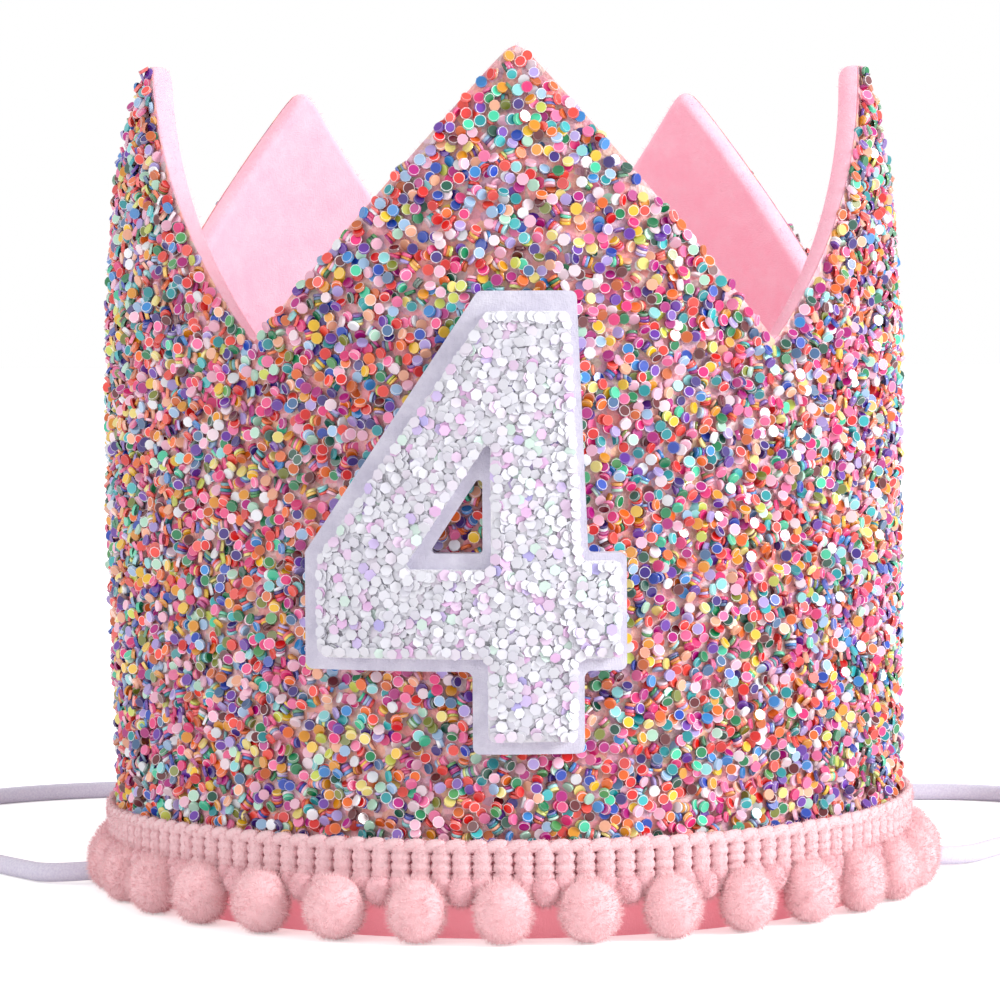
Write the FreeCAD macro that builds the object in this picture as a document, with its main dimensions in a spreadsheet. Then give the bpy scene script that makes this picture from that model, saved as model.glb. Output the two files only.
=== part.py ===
import FreeCAD, Part
import math
import os
import Sketcher

# A child's birthday crown: a felt band cut into five peaks, covered on the outside with confetti
# glitter fabric, with a pompom fringe along its foot, a padded 4 on its front and a round elastic.
# The origin is on the table under the middle of the crown, +Z is up and the numeral faces -Y.
# Angles go round the crown from the front (-Y) towards +X.

SIZES = {
    # Crown wall: felt inside, glitter fabric outside
    "crown_radius": 55.0,
    "felt_thickness": 2.2,
    "cover_thickness": 0.9,
    "peak_count": 5,
    "tip_height": 110.8,
    "valley_height": 74.8,
    "tip_blunting": 1.9,
    "lean_start": 78.0,
    "lean_radius": 148.0,
    # Fringe: a ribbed yarn header, pompoms that hang from it to the table, and buds between them
    "header_bottom": 7.4,
    "header_height": 5.2,
    "header_thickness": 1.4,
    "rib_depth": 0.5,
    "ribs_per_pompom": 4,
    "pompom_count": 34,
    "pompom_phase": -2.25,
    "pompom_width": 7.2,
    "pompom_shoulder": 5.0,
    "bud_width": 3.1,
    "bud_neck": 1.1,
    "bud_length": 2.9,
    "fringe_clearance": 0.1,
    # Numeral: a felt base and a smaller glitter face, both bent round the crown's front
    "numeral_base_thickness": 2.4,
    "numeral_face_thickness": 1.0,
    "numeral_corner": 0.9,
    "counter_corner": 0.45,
    "numeral_bottom": 23.5,
    "numeral_height": 56.9,
    "stem_middle": 1.0,
    "stem_top_width": 12.1,
    "stem_arm_width": 14.8,
    "stem_foot_width": 13.8,
    "bar_rise": 10.2,
    "bar_height": 14.5,
    "bar_left": 26.5,
    "bar_right": 13.2,
    "counter_right": 4.6,
    "counter_width": 6.6,
    "counter_height": 10.1,
    "face_margin_left": 1.9,
    "face_margin_right": 0.9,
    "face_margin_top": 2.5,
    "face_margin_bottom": 1.6,
    "face_counter_left": 3.2,
    "face_counter_right": 1.0,
    "face_counter_top": 4.2,
    "face_counter_bottom": 1.9,
    # Elastic: one loop through two holes in the felt, knotted on the inside
    "elastic_diameter": 2.6,
    "elastic_exit_height": 2.4,
    "elastic_hole_clearance": 0.2,
    "elastic_lead": 10.9,
    "knot_width": 5.0,
    "knot_flat": 3.6,
    "knot_seat_gap": 0.3,
}

# The elastic's way over the table, from its left lead round the back to its right lead
ELASTIC_FLOOR_POINTS = [
    (-68.4, -0.4),
    (-75.2, 8.6),
    (-82.6, 18.8),
    (-87.4, 31.2),
    (-88.6, 44.6),
    (-88.0, 57.8),
    (-83.2, 70.0),
    (-72.4, 77.2),
    (-59.6, 80.6),
    (-42.6, 84.6),
    (-21.4, 82.4),
    (0.2, 77.2),
    (21.8, 70.6),
    (43.6, 67.4),
    (61.8, 66.6),
    (76.6, 65.2),
    (87.4, 57.8),
    (92.2, 45.4),
    (90.8, 32.2),
    (84.4, 20.6),
    (76.4, 11.4),
]
# The left gap and the right gap between pompoms, counted from the front one, that let the elastic out
LEFT_GAP = -7.5
RIGHT_GAP = 8.5

# Sketches stand on the XZ plane, seen from the front, or on the YZ plane, for turned shapes
FRONT_PLANE = FreeCAD.Rotation(0, 0, 90)
TURNING_PLANE = FreeCAD.Rotation(90, 0, 90)
UP = FreeCAD.Vector(0, 0, 1)

doc = FreeCAD.newDocument("birthday_crown")


def make_sheet():
    """The driving dimensions, in millimetres and degrees, as a spreadsheet with named cells."""
    sheet = doc.addObject("Spreadsheet::Sheet", "sizes")
    for row, (name, number) in enumerate(SIZES.items(), start=1):
        sheet.set(f"A{row}", name)
        sheet.set(f"B{row}", str(number))
        sheet.setAlias(f"B{row}", name)
    doc.recompute()
    return sheet


sizes = make_sheet()


def value(expression):
    """What an expression of the sheet's names comes to."""
    return float(sizes.evalExpression(expression))


def bind(item, **expressions):
    """Ties properties of an object to the sheet; a double underscore stands for a dot."""
    for name, expression in expressions.items():
        item.setExpression(name.replace("__", "."), expression)


def around(radius, angle, height=0.0):
    """The point at a radius, an angle in degrees from the front, and a height."""
    turn = math.radians(angle)
    return FreeCAD.Vector(radius * math.sin(turn), -radius * math.cos(turn), height)


def outline(name, plane, corners, arcs=None):
    """A closed sketch through corners given as pairs of expressions.

    arcs gives the centre and the radius, as expressions, of each side that is an arc.
    """
    sketch = doc.addObject("Sketcher::SketchObject", name)
    sketch.Placement.Rotation = plane
    places = [FreeCAD.Vector(value(across), value(up), 0) for across, up in corners]
    ends = []
    for side, start in enumerate(places):
        end = places[(side + 1) % len(places)]
        if arcs and side in arcs:
            across, up, radius = arcs[side]
            centre = FreeCAD.Vector(value(across), value(up), 0)
            anticlockwise = (start - centre).cross(end - centre).dot(UP) > 0
            first, last = (start, end) if anticlockwise else (end, start)
            angles = [math.atan2(place.y - centre.y, place.x - centre.x) for place in (first, last)]
            circle = Part.Circle(centre, UP, value(radius))
            sketch.addGeometry(Part.ArcOfCircle(circle, *angles))
            ends.append((1, 2) if anticlockwise else (2, 1))
        else:
            sketch.addGeometry(Part.LineSegment(start, end))
            ends.append((1, 2))
    for side, corner in enumerate(corners):
        before = side - 1 if side else len(corners) - 1
        start = ends[side][0]
        sketch.addConstraint(Sketcher.Constraint("Coincident", before, ends[before][1], side, start))
        for kind, expression in zip(("DistanceX", "DistanceY"), corner):
            number = sketch.addConstraint(Sketcher.Constraint(kind, side, start, value(expression)))
            sketch.setExpression(f"Constraints[{number}]", expression)
    for side, (_, _, radius) in (arcs or {}).items():
        number = sketch.addConstraint(Sketcher.Constraint("Radius", side, value(radius)))
        sketch.setExpression(f"Constraints[{number}]", radius)
    return sketch


def turned(name, sketch):
    """The sketch turned once round the crown's axis."""
    body = doc.addObject("Part::Revolution", name)
    body.Source = sketch
    body.Axis = UP
    body.Base = FreeCAD.Vector(0, 0, 0)
    body.Angle = 360
    body.Solid = True
    return body


def cut(name, base, tool):
    """One object less another."""
    result = doc.addObject("Part::Cut", name)
    result.Base = base
    result.Tool = tool
    return result


def common(name, base, tool):
    """What two objects share."""
    result = doc.addObject("Part::Common", name)
    result.Base = base
    result.Tool = tool
    return result


def cylinder(name, radius, height):
    """An upright cylinder on the crown's axis, from two expressions."""
    result = doc.addObject("Part::Cylinder", name)
    bind(result, Radius=radius, Height=height)
    return result


# Crown wall

FELT_OUTER = "sizes.crown_radius - sizes.cover_thickness"
FELT_INNER = "sizes.crown_radius - sizes.cover_thickness - sizes.felt_thickness"
WALL_TOP = "sizes.tip_height + sizes.tip_blunting"


def wall_band(name, inner, outer, bottom):
    """A layer of the wall before its peaks are cut: upright, then leaning in on a large arc."""
    lean_axis = "sizes.crown_radius - sizes.lean_radius"
    rise = f"({WALL_TOP} - sizes.lean_start)"
    radii = {}
    tops = {}
    for side, face in (("outer", outer), ("inner", inner)):
        radii[side] = f"({face}) - ({lean_axis})"
        tops[side] = f"{lean_axis} + sqrt(({radii[side]})^2 - {rise}^2)"
    corners = [
        (inner, bottom),
        (outer, bottom),
        (outer, "sizes.lean_start"),
        (tops["outer"], WALL_TOP),
        (tops["inner"], WALL_TOP),
        (inner, "sizes.lean_start"),
    ]
    arcs = {
        2: (lean_axis, "sizes.lean_start", radii["outer"]),
        4: (lean_axis, "sizes.lean_start", radii["inner"]),
    }
    return turned(name, outline(f"{name}_profile", TURNING_PLANE, corners, arcs))


def rim_height(angle):
    """The height of the cut edge at an angle in degrees from the middle of its peak.

    Seen straight on, a peak has straight flanks, and its tip is blunted by a hyperbola.
    """
    half_peak = math.radians(180 / value("sizes.peak_count"))
    across = math.sin(math.radians(angle)) / math.sin(half_peak)
    apex = value("sizes.tip_height + sizes.tip_blunting")
    blunting = value("sizes.tip_blunting")
    flank = math.sqrt((apex - value("sizes.valley_height")) ** 2 - blunting**2)
    return apex - math.hypot(flank * across, blunting)


def above_rim():
    """Everything over the zigzag edge, whose cut face runs level and straight out from the axis."""
    reach = value("sizes.tip_height - sizes.valley_height") / 2
    steps_to_valley = 8
    half_peak = 180 / value("sizes.peak_count")
    shares = [step / steps_to_valley for step in range(-steps_to_valley, steps_to_valley + 1)]
    offsets = [half_peak * share * abs(share) for share in shares]
    faces = []
    for peak in range(int(value("sizes.peak_count"))):
        edges = []
        for radius in (value(FELT_INNER) - reach, value("sizes.crown_radius") + reach):
            curve = Part.BSplineCurve()
            middle = 2 * half_peak * peak
            curve.interpolate([around(radius, middle + off, rim_height(off)) for off in offsets])
            edges.append(curve.toShape())
        faces.append(Part.makeRuledSurface(*edges))
    zigzag = Part.makeShell(faces)
    zigzag.sewShape()
    rim = doc.addObject("Part::Feature", "rim_surface")
    rim.Shape = zigzag
    above = doc.addObject("Part::Extrusion", "above_rim")
    above.Base = rim
    above.DirMode = "Custom"
    above.Dir = UP
    bind(above, LengthFwd="sizes.tip_height")
    return above


def elastic_hole(name, angle):
    """A round hole through the felt, level and straight out from the axis."""
    hole = cylinder(name, "sizes.elastic_diameter / 2 + sizes.elastic_hole_clearance", "sizes.crown_radius")
    hole.Placement.Rotation = FreeCAD.Rotation(UP, around(1, angle))
    bind(hole, Placement__Base__z="sizes.elastic_exit_height")
    return hole


def gap_angle(gap):
    """The angle of a gap between pompoms, counted in pompoms from the front one."""
    return value("sizes.pompom_phase") + gap * 360 / value("sizes.pompom_count")


def make_wall():
    """The felt lining and the glitter cover, cut along one edge."""
    above = above_rim()
    holes = [
        elastic_hole("elastic_hole_left", gap_angle(LEFT_GAP)),
        elastic_hole("elastic_hole_right", gap_angle(RIGHT_GAP)),
    ]
    felt = wall_band("felt_band", FELT_INNER, FELT_OUTER, "0")
    for number, tool in enumerate(holes):
        felt = cut(f"felt_pierced_{number}", felt, tool)
    cover = wall_band("cover_band", FELT_OUTER, "sizes.crown_radius", "sizes.header_bottom")
    return [cut("felt_lining", felt, above), cut("glitter_cover", cover, above)]


# Pompom fringe


def make_header():
    """The header: a row of upright yarn ribs round the foot of the wall, with buds hanging from it."""
    outer = value("sizes.crown_radius + sizes.header_thickness")
    groove = outer - value("sizes.rib_depth")
    count = int(value("sizes.pompom_count * sizes.ribs_per_pompom"))
    bottom = value("sizes.header_bottom")
    pitch = 360 / count
    arcs = []
    for rib in range(count):
        middle = value("sizes.pompom_phase") + rib * pitch
        ends = [around(groove, middle + side * pitch / 2, bottom) for side in (-1, 1)]
        arcs.append(Part.Arc(ends[0], around(outer, middle, bottom), ends[1]).toShape())
    ribs = Part.Face(Part.Wire(arcs)).extrude(UP * value("sizes.header_height"))
    room = Part.makeCylinder(
        value("sizes.crown_radius"), value("sizes.header_height"), FreeCAD.Vector(0, 0, bottom)
    )
    buds = [make_bud(gap_angle(pompom + 0.5)) for pompom in range(int(value("sizes.pompom_count")))]
    header = doc.addObject("Part::Feature", "trim_header")
    header.Shape = ribs.cut(room).fuse(buds)
    return header


def make_bud(angle):
    """A small drop of yarn that hangs from the header on a thin neck, close against the felt."""
    belly = value("sizes.bud_width") / 2
    neck = value("sizes.bud_neck") / 2
    length = value("sizes.bud_length")
    top = value("sizes.header_bottom")
    belly_height = top - length + belly
    bottom_point = FreeCAD.Vector(0, 0, top - length)
    belly_point = FreeCAD.Vector(belly, 0, belly_height)
    neck_point = FreeCAD.Vector(neck, 0, top)
    axis_point = FreeCAD.Vector(0, 0, top)
    lower_middle = FreeCAD.Vector(belly * math.sqrt(0.5), 0, belly_height - belly * math.sqrt(0.5))
    profile = Part.Wire([
        Part.Arc(bottom_point, lower_middle, belly_point).toShape(),
        Part.LineSegment(belly_point, neck_point).toShape(),
        Part.LineSegment(neck_point, axis_point).toShape(),
        Part.LineSegment(axis_point, bottom_point).toShape(),
    ])
    bud = Part.Face(profile).revolve(FreeCAD.Vector(0, 0, 0), UP, 360)
    bud.translate(around(value(f"{FELT_OUTER} + sizes.fringe_clearance") + belly, angle))
    return bud


def make_pompoms():
    """The pompoms: pear-shaped tufts from the table up to the header, close against the felt."""
    radius = "sizes.pompom_width / 2"
    inset = "((sizes.pompom_width - sizes.pompom_shoulder) / 2)"
    rise = f"(sizes.header_bottom - {radius})"
    shoulder_radius = f"({inset}^2 + {rise}^2) / (2 * {inset})"
    corners = [
        ("0", "0"),
        (radius, radius),
        ("sizes.pompom_shoulder / 2", "sizes.header_bottom"),
        ("0", "sizes.header_bottom"),
    ]
    arcs = {
        0: ("0", radius, radius),
        1: (f"{radius} - {shoulder_radius}", radius, shoulder_radius),
    }
    profile = outline("pompom_profile", FRONT_PLANE, corners, arcs)
    stand_off = f"-({FELT_OUTER} + sizes.fringe_clearance + {radius})"
    bind(profile, Placement__Base__y=stand_off)
    pompoms = []
    for number in range(int(value("sizes.pompom_count"))):
        pompom = turned(f"pompom_{number + 1:02d}", profile)
        bind(pompom, Base__y=stand_off)
        pompom.Placement.Rotation = FreeCAD.Rotation(UP, 1)
        angle = f"sizes.pompom_phase + {number} * 360 / sizes.pompom_count"
        bind(pompom, Placement__Rotation__Angle=angle)
        pompoms.append(pompom)
    return pompoms


# Numeral

NUMERAL_TOP = "sizes.numeral_bottom + sizes.numeral_height"
BAR_BOTTOM = "sizes.numeral_bottom + sizes.bar_rise"
BAR_TOP = "sizes.numeral_bottom + sizes.bar_rise + sizes.bar_height"


def rounded_block(name, corners, depth, corner_radius):
    """An outline pushed out towards the front, with the edges at its corners rounded."""
    block = doc.addObject("Part::Extrusion", f"{name}_block")
    block.Base = outline(f"{name}_outline", FRONT_PLANE, corners)
    block.DirMode = "Normal"
    block.Solid = True
    bind(block, LengthFwd=depth)
    doc.recompute()
    rounded = doc.addObject("Part::Fillet", f"{name}_rounded")
    rounded.Base = block
    radius = value(corner_radius)
    along = [edge.tangentAt(edge.FirstParameter) for edge in block.Shape.Edges]
    front_to_back = [number for number, way in enumerate(along, start=1) if abs(way.y) > 0.99]
    rounded.Edges = [(number, radius, radius) for number in front_to_back]
    return rounded


def numeral_layer(name, outer_corners, counter_corners, inner_radius, outer_radius):
    """One layer of the numeral: its outline and its counter, bent to the crown's round front."""
    plate = cut(
        f"{name}_plate",
        rounded_block(f"{name}_outside", outer_corners, outer_radius, "sizes.numeral_corner"),
        rounded_block(f"{name}_counter", counter_corners, outer_radius, "sizes.counter_corner"),
    )
    shell = cut(
        f"{name}_shell",
        cylinder(f"{name}_outside_round", outer_radius, NUMERAL_TOP),
        cylinder(f"{name}_inside_round", inner_radius, NUMERAL_TOP),
    )
    return common(name, plate, shell)


def make_numeral():
    """The padded 4: an open-topped figure of stem, bar and slanting stroke, with a small counter."""
    middle = "sizes.stem_middle"
    top_half = "sizes.stem_top_width / 2"
    foot_half = "sizes.stem_foot_width / 2"
    arm_half = "sizes.stem_arm_width / 2"
    base_outside = [
        (f"{middle} - {foot_half}", "sizes.numeral_bottom"),
        (f"{middle} + {foot_half}", "sizes.numeral_bottom"),
        (f"{middle} + {foot_half}", BAR_BOTTOM),
        ("sizes.bar_right", BAR_BOTTOM),
        ("sizes.bar_right", BAR_TOP),
        (f"{middle} + {arm_half}", BAR_TOP),
        (f"{middle} + {top_half}", NUMERAL_TOP),
        (f"{middle} - {top_half}", NUMERAL_TOP),
        ("-sizes.bar_left", BAR_TOP),
        ("-sizes.bar_left", BAR_BOTTOM),
        (f"{middle} - {foot_half}", BAR_BOTTOM),
    ]
    base_counter = [
        ("-sizes.counter_right - sizes.counter_width", BAR_TOP),
        ("-sizes.counter_right", BAR_TOP),
        ("-sizes.counter_right", f"{BAR_TOP} + sizes.counter_height"),
    ]
    left, right = "sizes.face_margin_left", "sizes.face_margin_right"
    top, bottom = "sizes.face_margin_top", "sizes.face_margin_bottom"
    face_outside = [
        (f"{middle} - {foot_half} + {left}", f"sizes.numeral_bottom + {bottom}"),
        (f"{middle} + {foot_half} - {right}", f"sizes.numeral_bottom + {bottom}"),
        (f"{middle} + {foot_half} - {right}", f"{BAR_BOTTOM} + {bottom}"),
        (f"sizes.bar_right - {right}", f"{BAR_BOTTOM} + {bottom}"),
        (f"sizes.bar_right - {right}", f"{BAR_TOP} - {right}"),
        (f"{middle} + {arm_half} - {right}", f"{BAR_TOP} - {right}"),
        (f"{middle} + {top_half} - {right}", f"{NUMERAL_TOP} - {top}"),
        (f"{middle} - {top_half} + {left} / 2", f"{NUMERAL_TOP} - {top}"),
        (f"-sizes.bar_left + {left}", f"{BAR_TOP} - {right}"),
        (f"-sizes.bar_left + {left}", f"{BAR_BOTTOM} + {bottom}"),
        (f"{middle} - {foot_half} + {left}", f"{BAR_BOTTOM} + {bottom}"),
    ]
    counter_foot = f"{BAR_TOP} - sizes.face_counter_bottom"
    counter_side = "sizes.face_counter_right - sizes.counter_right"
    face_counter = [
        ("-sizes.counter_right - sizes.counter_width - sizes.face_counter_left", counter_foot),
        (counter_side, counter_foot),
        (counter_side, f"{BAR_TOP} + sizes.counter_height + sizes.face_counter_top"),
    ]
    base_front = "sizes.crown_radius + sizes.numeral_base_thickness"
    face_front = f"{base_front} + sizes.numeral_face_thickness"
    return [
        numeral_layer("numeral_base", base_outside, base_counter, "sizes.crown_radius", base_front),
        numeral_layer("numeral_face", face_outside, face_counter, base_front, face_front),
    ]


# Elastic


def rounded_path(points):
    """Straight runs between points, joined by arcs as large as the shorter run at each corner allows."""
    share_of_run = 0.45
    edges = []
    radii = []
    start = points[0]
    for before, corner, after in zip(points, points[1:], points[2:]):
        into = (corner - before).normalize()
        out_of = (after - corner).normalize()
        half_turn = into.getAngle(out_of) / 2
        tangent = share_of_run * min((corner - before).Length, (after - corner).Length)
        radius = tangent / math.tan(half_turn)
        first = corner - into * tangent
        last = corner + out_of * tangent
        inward = (out_of - into).normalize()
        middle = corner + inward * (radius / math.cos(half_turn) - radius)
        edges.append(Part.LineSegment(start, first).toShape())
        edges.append(Part.Arc(first, middle, last).toShape())
        start = last
        radii.append(round(radius, 1))
    edges.append(Part.LineSegment(start, points[-1]).toShape())
    return Part.Wire(edges), radii


def knot_reach():
    """How far from the axis the knots' flat outer ends lie, where the elastic meets them."""
    return value(FELT_INNER) - value("sizes.knot_seat_gap")


def make_elastic():
    """The elastic: out through the left hole, over the table behind the crown, in through the right."""
    height = value("sizes.elastic_exit_height")
    lead = knot_reach() + value("sizes.elastic_lead")
    left, right = gap_angle(LEFT_GAP), gap_angle(RIGHT_GAP)
    radius = value("sizes.elastic_diameter") / 2
    points = [around(knot_reach(), left, height), around(lead, left, height)]
    points += [FreeCAD.Vector(across, back, radius) for across, back in ELASTIC_FLOOR_POINTS]
    points += [around(lead, right, height), around(knot_reach(), right, height)]
    path, radii = rounded_path(points)
    section = Part.Wire(Part.Circle(points[0], points[1] - points[0], radius).toShape())
    elastic = doc.addObject("Part::Feature", "elastic_cord")
    elastic.Shape = path.makePipeShell([section], True, False)
    expected = math.pi * radius**2 * path.Length
    print(f"elastic: {path.Length:.1f} mm long, radii {radii}")
    print(f"elastic: volume {elastic.Shape.Volume:.1f}, section times length {expected:.1f}")
    return elastic


def make_knot(name, angle):
    """A tight knot inside the felt: a ball, flat on the side where the elastic enters it."""
    radius = value("sizes.knot_width / 2")
    flat_from_centre = math.sqrt(radius**2 - value("sizes.knot_flat / 2") ** 2)
    knot = doc.addObject("Part::Sphere", name)
    bind(knot, Radius="sizes.knot_width / 2")
    knot.Angle2 = math.degrees(math.asin(flat_from_centre / radius))
    centre = around(knot_reach() - flat_from_centre, angle, radius)
    knot.Placement = FreeCAD.Placement(centre, FreeCAD.Rotation(UP, around(1, angle)))
    return knot


def check(nodes):
    """Stops unless every object is sound and every node is one valid, closed solid."""
    doc.recompute()
    for item in doc.Objects:
        if {"Invalid", "Error"} & set(item.State):
            raise RuntimeError(f"{item.Label} failed: {item.State}")
    for node in nodes:
        shape = node.Shape
        if shape.isNull() or not shape.isValid() or len(shape.Solids) != 1:
            raise RuntimeError(f"{node.Label} isn't one valid solid: {len(shape.Solids)} solids")


def main():
    nodes = make_wall()
    nodes.append(make_header())
    nodes += make_pompoms()
    nodes += make_numeral()
    nodes.append(make_elastic())
    nodes.append(make_knot("knot_left", gap_angle(LEFT_GAP)))
    nodes.append(make_knot("knot_right", gap_angle(RIGHT_GAP)))
    check(nodes)
    os.makedirs("parts", exist_ok=True)
    for node in nodes:
        node.Label = node.Name
        node.Shape.exportStep(f"parts/{node.Label}.step")
    print(f"{len(nodes)} nodes")


main()
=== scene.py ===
import math

import bpy
import numpy as np
from mathutils import Matrix, Vector
from mathutils.bvhtree import BVHTree


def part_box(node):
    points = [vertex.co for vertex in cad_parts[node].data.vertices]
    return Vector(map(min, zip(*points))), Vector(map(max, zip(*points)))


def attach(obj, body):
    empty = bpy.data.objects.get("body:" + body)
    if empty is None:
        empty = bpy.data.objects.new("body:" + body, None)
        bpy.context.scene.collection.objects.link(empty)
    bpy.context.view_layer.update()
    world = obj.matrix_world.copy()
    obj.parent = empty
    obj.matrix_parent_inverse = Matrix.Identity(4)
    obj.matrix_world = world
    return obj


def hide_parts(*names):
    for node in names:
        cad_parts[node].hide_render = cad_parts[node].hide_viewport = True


# A child's felt birthday crown, seen almost level from the front: confetti discs glued all over the
# cover, white flakes on the numeral, a ribbed yarn header with pompoms, and a round elastic.
# Lengths are in millimetres until a mesh is made. Angles go round the crown from the front (-Y)
# towards +X, in radians unless a name says degrees.

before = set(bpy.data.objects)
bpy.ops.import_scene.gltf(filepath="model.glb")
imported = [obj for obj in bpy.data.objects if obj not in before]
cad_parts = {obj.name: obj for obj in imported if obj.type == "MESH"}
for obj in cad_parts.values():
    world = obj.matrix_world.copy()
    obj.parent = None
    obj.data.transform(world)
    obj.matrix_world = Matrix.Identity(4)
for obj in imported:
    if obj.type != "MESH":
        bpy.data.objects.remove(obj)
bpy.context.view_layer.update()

MM = 0.001
rng = np.random.default_rng(41)


def node_radius(node):
    """How far a CAD node reaches from the crown's axis."""
    return max(math.hypot(corner.co.x, corner.co.y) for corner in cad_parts[node].data.vertices) / MM


# Crown wall, as in the part
COVER_RADIUS = node_radius("glitter_cover")
FELT_RADIUS = node_radius("felt_lining")
PEAK_COUNT = 5
TIP_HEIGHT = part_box("felt_lining")[1].z / MM
VALLEY_HEIGHT = 74.1
TIP_BLUNTING = 1.3
# The front peak is cut a little wider than the others
FRONT_WIDENING = math.radians(2.2)
LEAN_START = 68.0
LEAN_RADIUS = 250.0
# The foot is pressed in a little on the crown's left
PRESS_DEPTH = 1.2
PRESS_ANGLE = math.radians(-92)
PRESS_SPREAD = math.radians(38)
PRESS_TOP = 60.0
# The fabric under the discs: the discs fill the cover out to its full radius
GROUND_RADIUS = COVER_RADIUS - 1.45
GROUND_THICKNESS = 0.1
GROUND_ROUNDINGS = (0.02, 0.02)
GIRTH = 2 * math.pi * GROUND_RADIUS
# The felt is pressed thinner at its foot, under the fringe, than at its cut edge
FELT_THICKNESS = 2.2
FELT_EDGE_THICKNESS = 3.0
FELT_ROUNDINGS = (0.3, 2.0)
FUZZ_FIBRES = 7000
# How finely the wall is divided: round the crown, up each face and over each rounding
WALL_COLUMNS = 72 * PEAK_COUNT
WALL_LEVELS = 12
RIM_STEPS = 5

# Yarn fringe
POMPOM_COUNT = 34
POMPOM_PHASE = math.radians(-2.25)
POMPOM_PITCH = 2 * math.pi / POMPOM_COUNT
RIB_COUNT = 4 * POMPOM_COUNT
RIB_PITCH = 2 * math.pi / RIB_COUNT
HEADER_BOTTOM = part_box("glitter_cover")[0].z / MM
HEADER_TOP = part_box("trim_header")[1].z / MM
POMPOM_RADIUS = 3.7
POMPOM_AXIS = 57.1
POMPOM_AXIS_FRONT = 58.2
POMPOM_FLATNESS = 0.82
# How far a pompom moves in under the crown for each millimetre that the fringe sags
POMPOM_TUCK = 0.8
BUD_AXIS = 56.15
STUB_AXIS = 55.85
FRINGE_SAG = 1.5
FRINGE_SAG_ANGLE = math.radians(-88)
FRINGE_SAG_SPREAD = math.radians(30)
FIBRE_WIDTH = 0.08
TUFT_FIBRE_WIDTH = 0.09
POMPOM_FIBRES = 3700
BUD_FIBRES = 850
STUB_FIBRES = 300
RIB_FIBRES = 230
LOOP_FIBRES = 140

# Confetti discs
DISC_RADIUS = 0.74
DISC_THICKNESS = 0.42
DISC_SIDES = 9
LOOSE_DISCS = 11900
LOOSE_TILT = 0.24
DISC_ROLLS = 5200
LONGEST_ROLL = 6
ROLLED_THICKNESS = 0.36
SUNK_DISC_SPACING = 1.2
CONFETTI_BOTTOM = HEADER_TOP - 2.4
# How far the discs keep from the cut edge; the back is the part past this share of half the girth
RIM_INSET = 0.6
BACK_RIM_INSET = 2.0
BACK_START = 0.7

# Numeral
FLAKE_RADIUS = 0.74
FLAKE_THICKNESS = 0.12
FLAKE_SIDES = 6
FLAKE_COUNT = 2000
FLAKE_TILT = 0.06
NUMERAL_RADIUS = node_radius("numeral_face")
# No part of the numeral is further from the crown's front than this
NUMERAL_REACH = 30.0

# Elastic: its route over the floor, from hole to hole
ELASTIC_DIAMETER = 2.6
# Radius and height of each end inside the felt, and of the point where it comes to rest outside
ELASTIC_ENDS = ((51.6, 2.4), (62.5, 1.5))
LEFT_EXIT_ANGLE = math.radians(-81.66)
RIGHT_EXIT_ANGLE = math.radians(87.75)
ELASTIC_FLOOR_POINTS = [
    (-68.4, -0.4), (-75.2, 8.6), (-82.6, 18.8), (-87.4, 31.2), (-88.6, 44.6), (-88.0, 57.8),
    (-83.2, 70.0), (-72.4, 77.2), (-59.6, 80.6), (-42.6, 84.6), (-21.4, 82.4), (0.2, 77.2),
    (21.8, 70.6), (43.6, 67.4), (61.8, 68.8), (77.2, 68.6), (88.2, 60.0), (92.2, 45.4),
    (90.8, 32.2), (81.8, 22.6), (72.8, 13.2),
]

# Camera, as the photograph was taken
CAMERA_DISTANCE = 480.53
CAMERA_HEIGHT = 76.01
CAMERA_AZIMUTH = math.radians(-1.92)
CAMERA_YAW = math.radians(-0.07)
CAMERA_PITCH = math.radians(2.867)
CAMERA_ROLL = math.radians(-0.26)
CAMERA_LENS = 124.62
CAMERA_SENSOR = 36.0


def around(radius, angle, height=0.0):
    """The point at a radius, an angle and a height."""
    return (radius * math.sin(angle), -radius * math.cos(angle), height)


# Materials


def srgb(code, alpha=1.0):
    """A colour written as RRGGBB, in linear light."""
    parts = [int(code[start:start + 2], 16) / 255 for start in (0, 2, 4)]
    linear = [part / 12.92 if part <= 0.04045 else ((part + 0.055) / 1.055) ** 2.4 for part in parts]
    return (*linear, alpha)


def new_material(name, **sockets):
    """A material and its shader, with plain values on the shader's own sockets."""
    made = bpy.data.materials.new(name)
    made.use_nodes = True
    shader = made.node_tree.nodes["Principled BSDF"]
    for socket, number in sockets.items():
        shader.inputs[socket.replace("_", " ")].default_value = number
    return made, shader


def add_node(made, kind, inputs=None, **settings):
    """A shader node with its properties and unlinked inputs set."""
    node = made.node_tree.nodes.new(kind)
    for name, setting in settings.items():
        setattr(node, name, setting)
    for name, number in (inputs or {}).items():
        node.inputs[name].default_value = number
    return node


def link(made, source, target):
    made.node_tree.links.new(source, target)


def add_ramp(made, source, stops, interpolation="LINEAR"):
    """A colour ramp fed by a socket or a mesh attribute's name.

    Each stop is a position, and a colour code or a grey level.
    """
    if isinstance(source, str):
        source = add_node(made, "ShaderNodeAttribute", attribute_name=source).outputs["Fac"]
    ramp = add_node(made, "ShaderNodeValToRGB")
    ramp.color_ramp.interpolation = interpolation
    elements = ramp.color_ramp.elements
    while len(elements) < len(stops):
        elements.new(1.0)
    for element, (position, colour) in zip(elements, stops):
        element.position = position
        element.color = srgb(colour) if isinstance(colour, str) else (colour, colour, colour, 1.0)
    link(made, source, ramp.inputs["Fac"])
    return ramp.outputs["Color"]


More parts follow.
